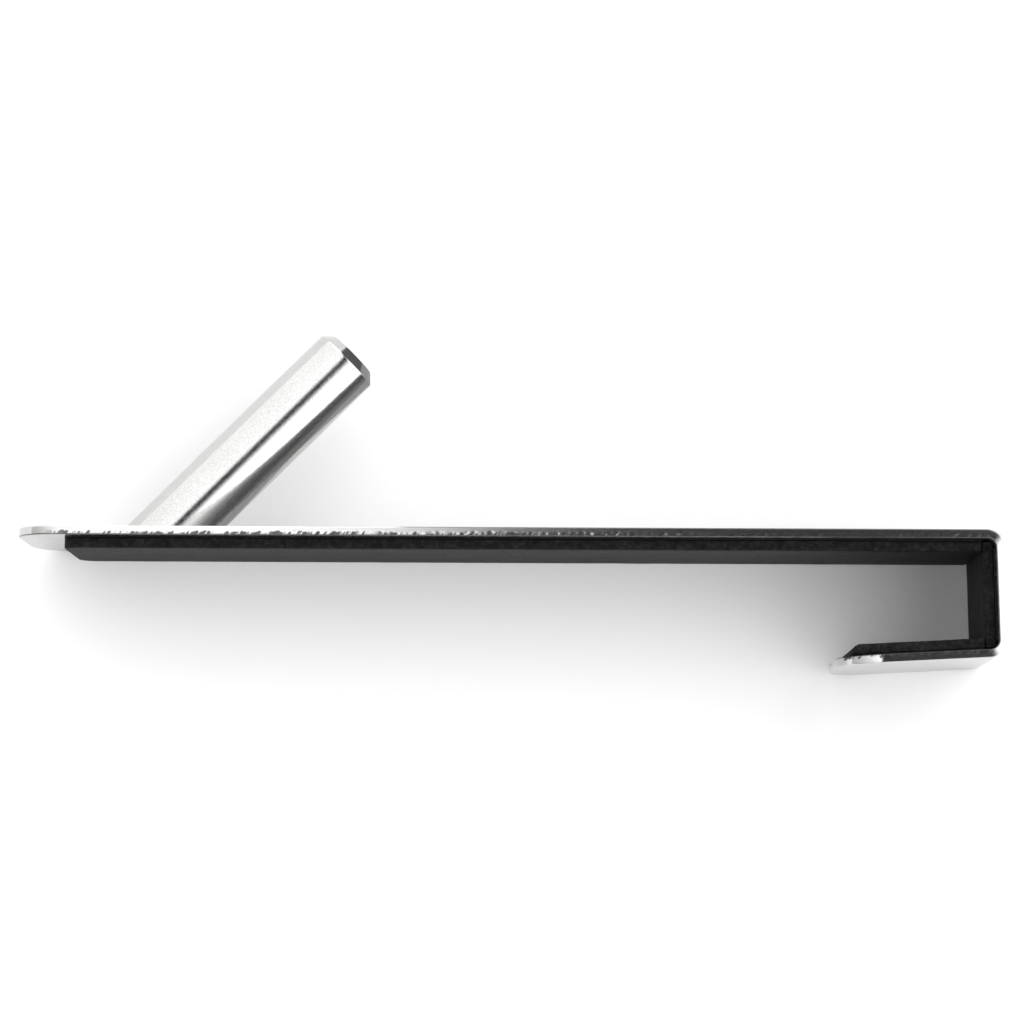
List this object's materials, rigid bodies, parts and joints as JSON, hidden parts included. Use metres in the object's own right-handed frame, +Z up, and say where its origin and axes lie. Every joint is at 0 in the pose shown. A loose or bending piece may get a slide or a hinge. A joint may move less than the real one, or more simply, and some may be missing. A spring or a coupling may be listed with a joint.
{
  "type": "over-panel hook",
  "caption": "Bent steel strap that hooks over a glass shower panel or door, lined with foam, with a slanting round peg to hang towels on.",
  "frame": {"origin": "centre of the panel seat, the inner face of the bridge's foam strip, where the panel's edge meets the hook", "axes": "the hook lies on one long edge of the strap: +X along the long arm towards the bridge, +Y from the long arm towards the peg, +Z up across the strap's width"},
  "size_m": [0.1663, 0.0572, 0.03],
  "materials": {
    "strap_steel": "brushed along the strap",
    "peg_steel": "turned and fine ground",
    "screw_steel": "plain stainless",
    "foam": "matte closed-cell foam",
    "adhesive_film": "thin double-sided film"
  },
  "bodies": {
    "root": {"hook_strap": "strap_steel", "long_foam": "foam", "bridge_foam": "foam", "short_foam": "foam", "long_film": "adhesive_film", "bridge_film": "adhesive_film", "short_film": "adhesive_film", "peg": "peg_steel", "peg_screw": "screw_steel"}
  },
  "joints": []
}
